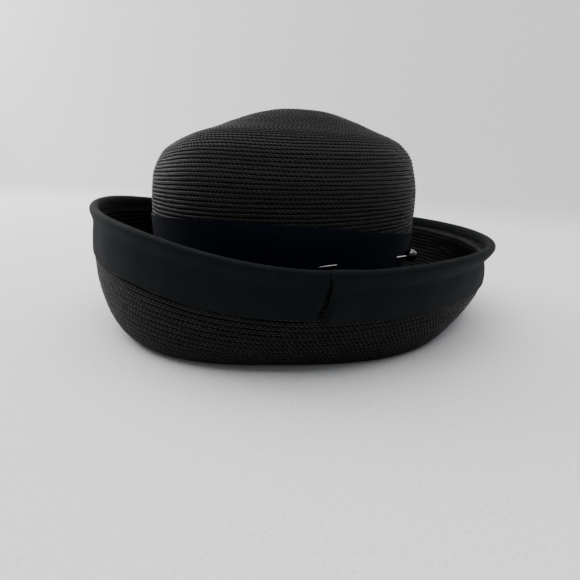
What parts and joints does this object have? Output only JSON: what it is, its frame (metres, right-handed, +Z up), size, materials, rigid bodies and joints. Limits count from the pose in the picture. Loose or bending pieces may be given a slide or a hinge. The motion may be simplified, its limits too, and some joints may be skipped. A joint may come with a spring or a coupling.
{
  "type": "cocktail tilt hat",
  "caption": "Sewn straw tilt hat with a barrel crown, deep upturned brim, ribbon band and rim binding, and a straight ball-headed hat pin.",
  "frame": {"origin": "on the surface the hat rests on, under the middle of the rim", "axes": "+Z up out of the crown, +X towards the low side of the tilted rim, -Y towards the lapped end of the rim binding"},
  "size_m": [0.2706, 0.2648, 0.1363],
  "materials": {
    "straw_braid": "glossy black braid sewn in rows",
    "navy_grosgrain": "matte ribbed navy ribbon",
    "charcoal_ribbon": "matte charcoal ribbon",
    "pin_steel": "polished",
    "black_bead": "high gloss"
  },
  "bodies": {
    "hat": {"crown": "straw_braid", "brim": "straw_braid", "hatband": "navy_grosgrain", "brim_binding": "charcoal_ribbon"},
    "hat_pin": {"hat_pin_shaft": "pin_steel", "hat_pin_head": "black_bead"}
  },
  "joints": [
    {"name": "hat_pin_slide", "type": "slide", "parent": "hat", "child": "hat_pin", "axis": [0.7858, 0.6161, -0.0549], "range_m": [0, 0.045]}
  ]
}
